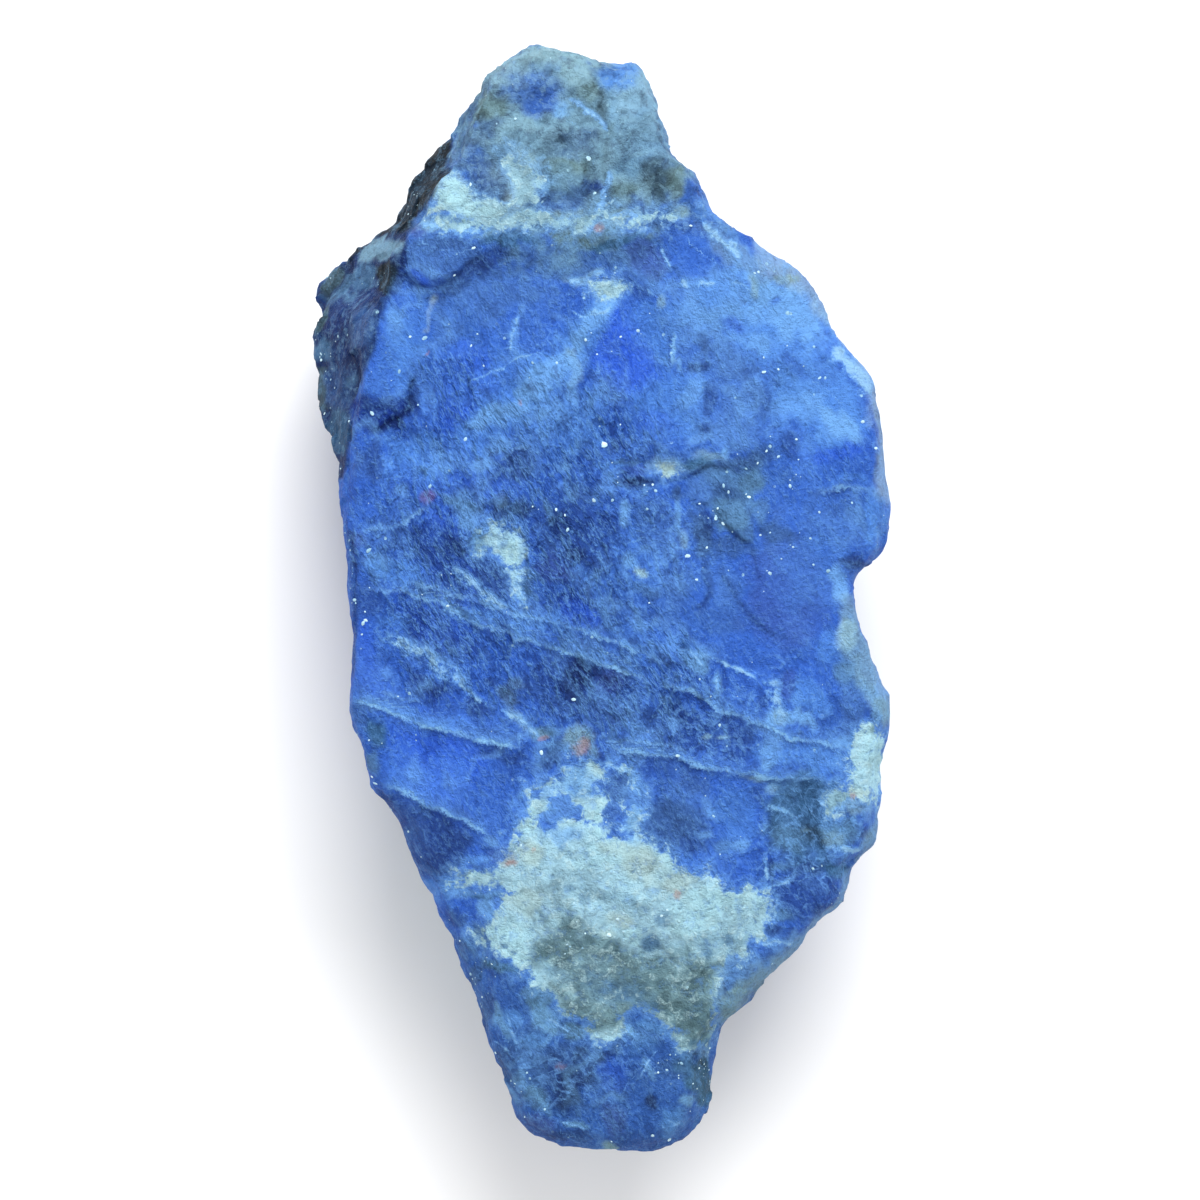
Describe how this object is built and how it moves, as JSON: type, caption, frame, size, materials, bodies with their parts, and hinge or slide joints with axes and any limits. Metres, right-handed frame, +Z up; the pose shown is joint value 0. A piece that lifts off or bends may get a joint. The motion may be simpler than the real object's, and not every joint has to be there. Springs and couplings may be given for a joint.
{
  "type": "rough sodalite stone",
  "caption": "Rough, broken piece of deep blue stone with pale veins and white and grey-olive patches, lying on a small flat spot.",
  "frame": {"origin": "on the flat spot that the stone rests on, under the middle of its outline", "axes": "+Z up through the broad face, +Y along the stone towards its pale knob, +X to the right"},
  "size_m": [0.0318, 0.0612, 0.0156],
  "materials": {
    "sodalite": "broken, silky"
  },
  "bodies": {
    "root": {"sodalite_stone": "sodalite"}
  },
  "joints": []
}
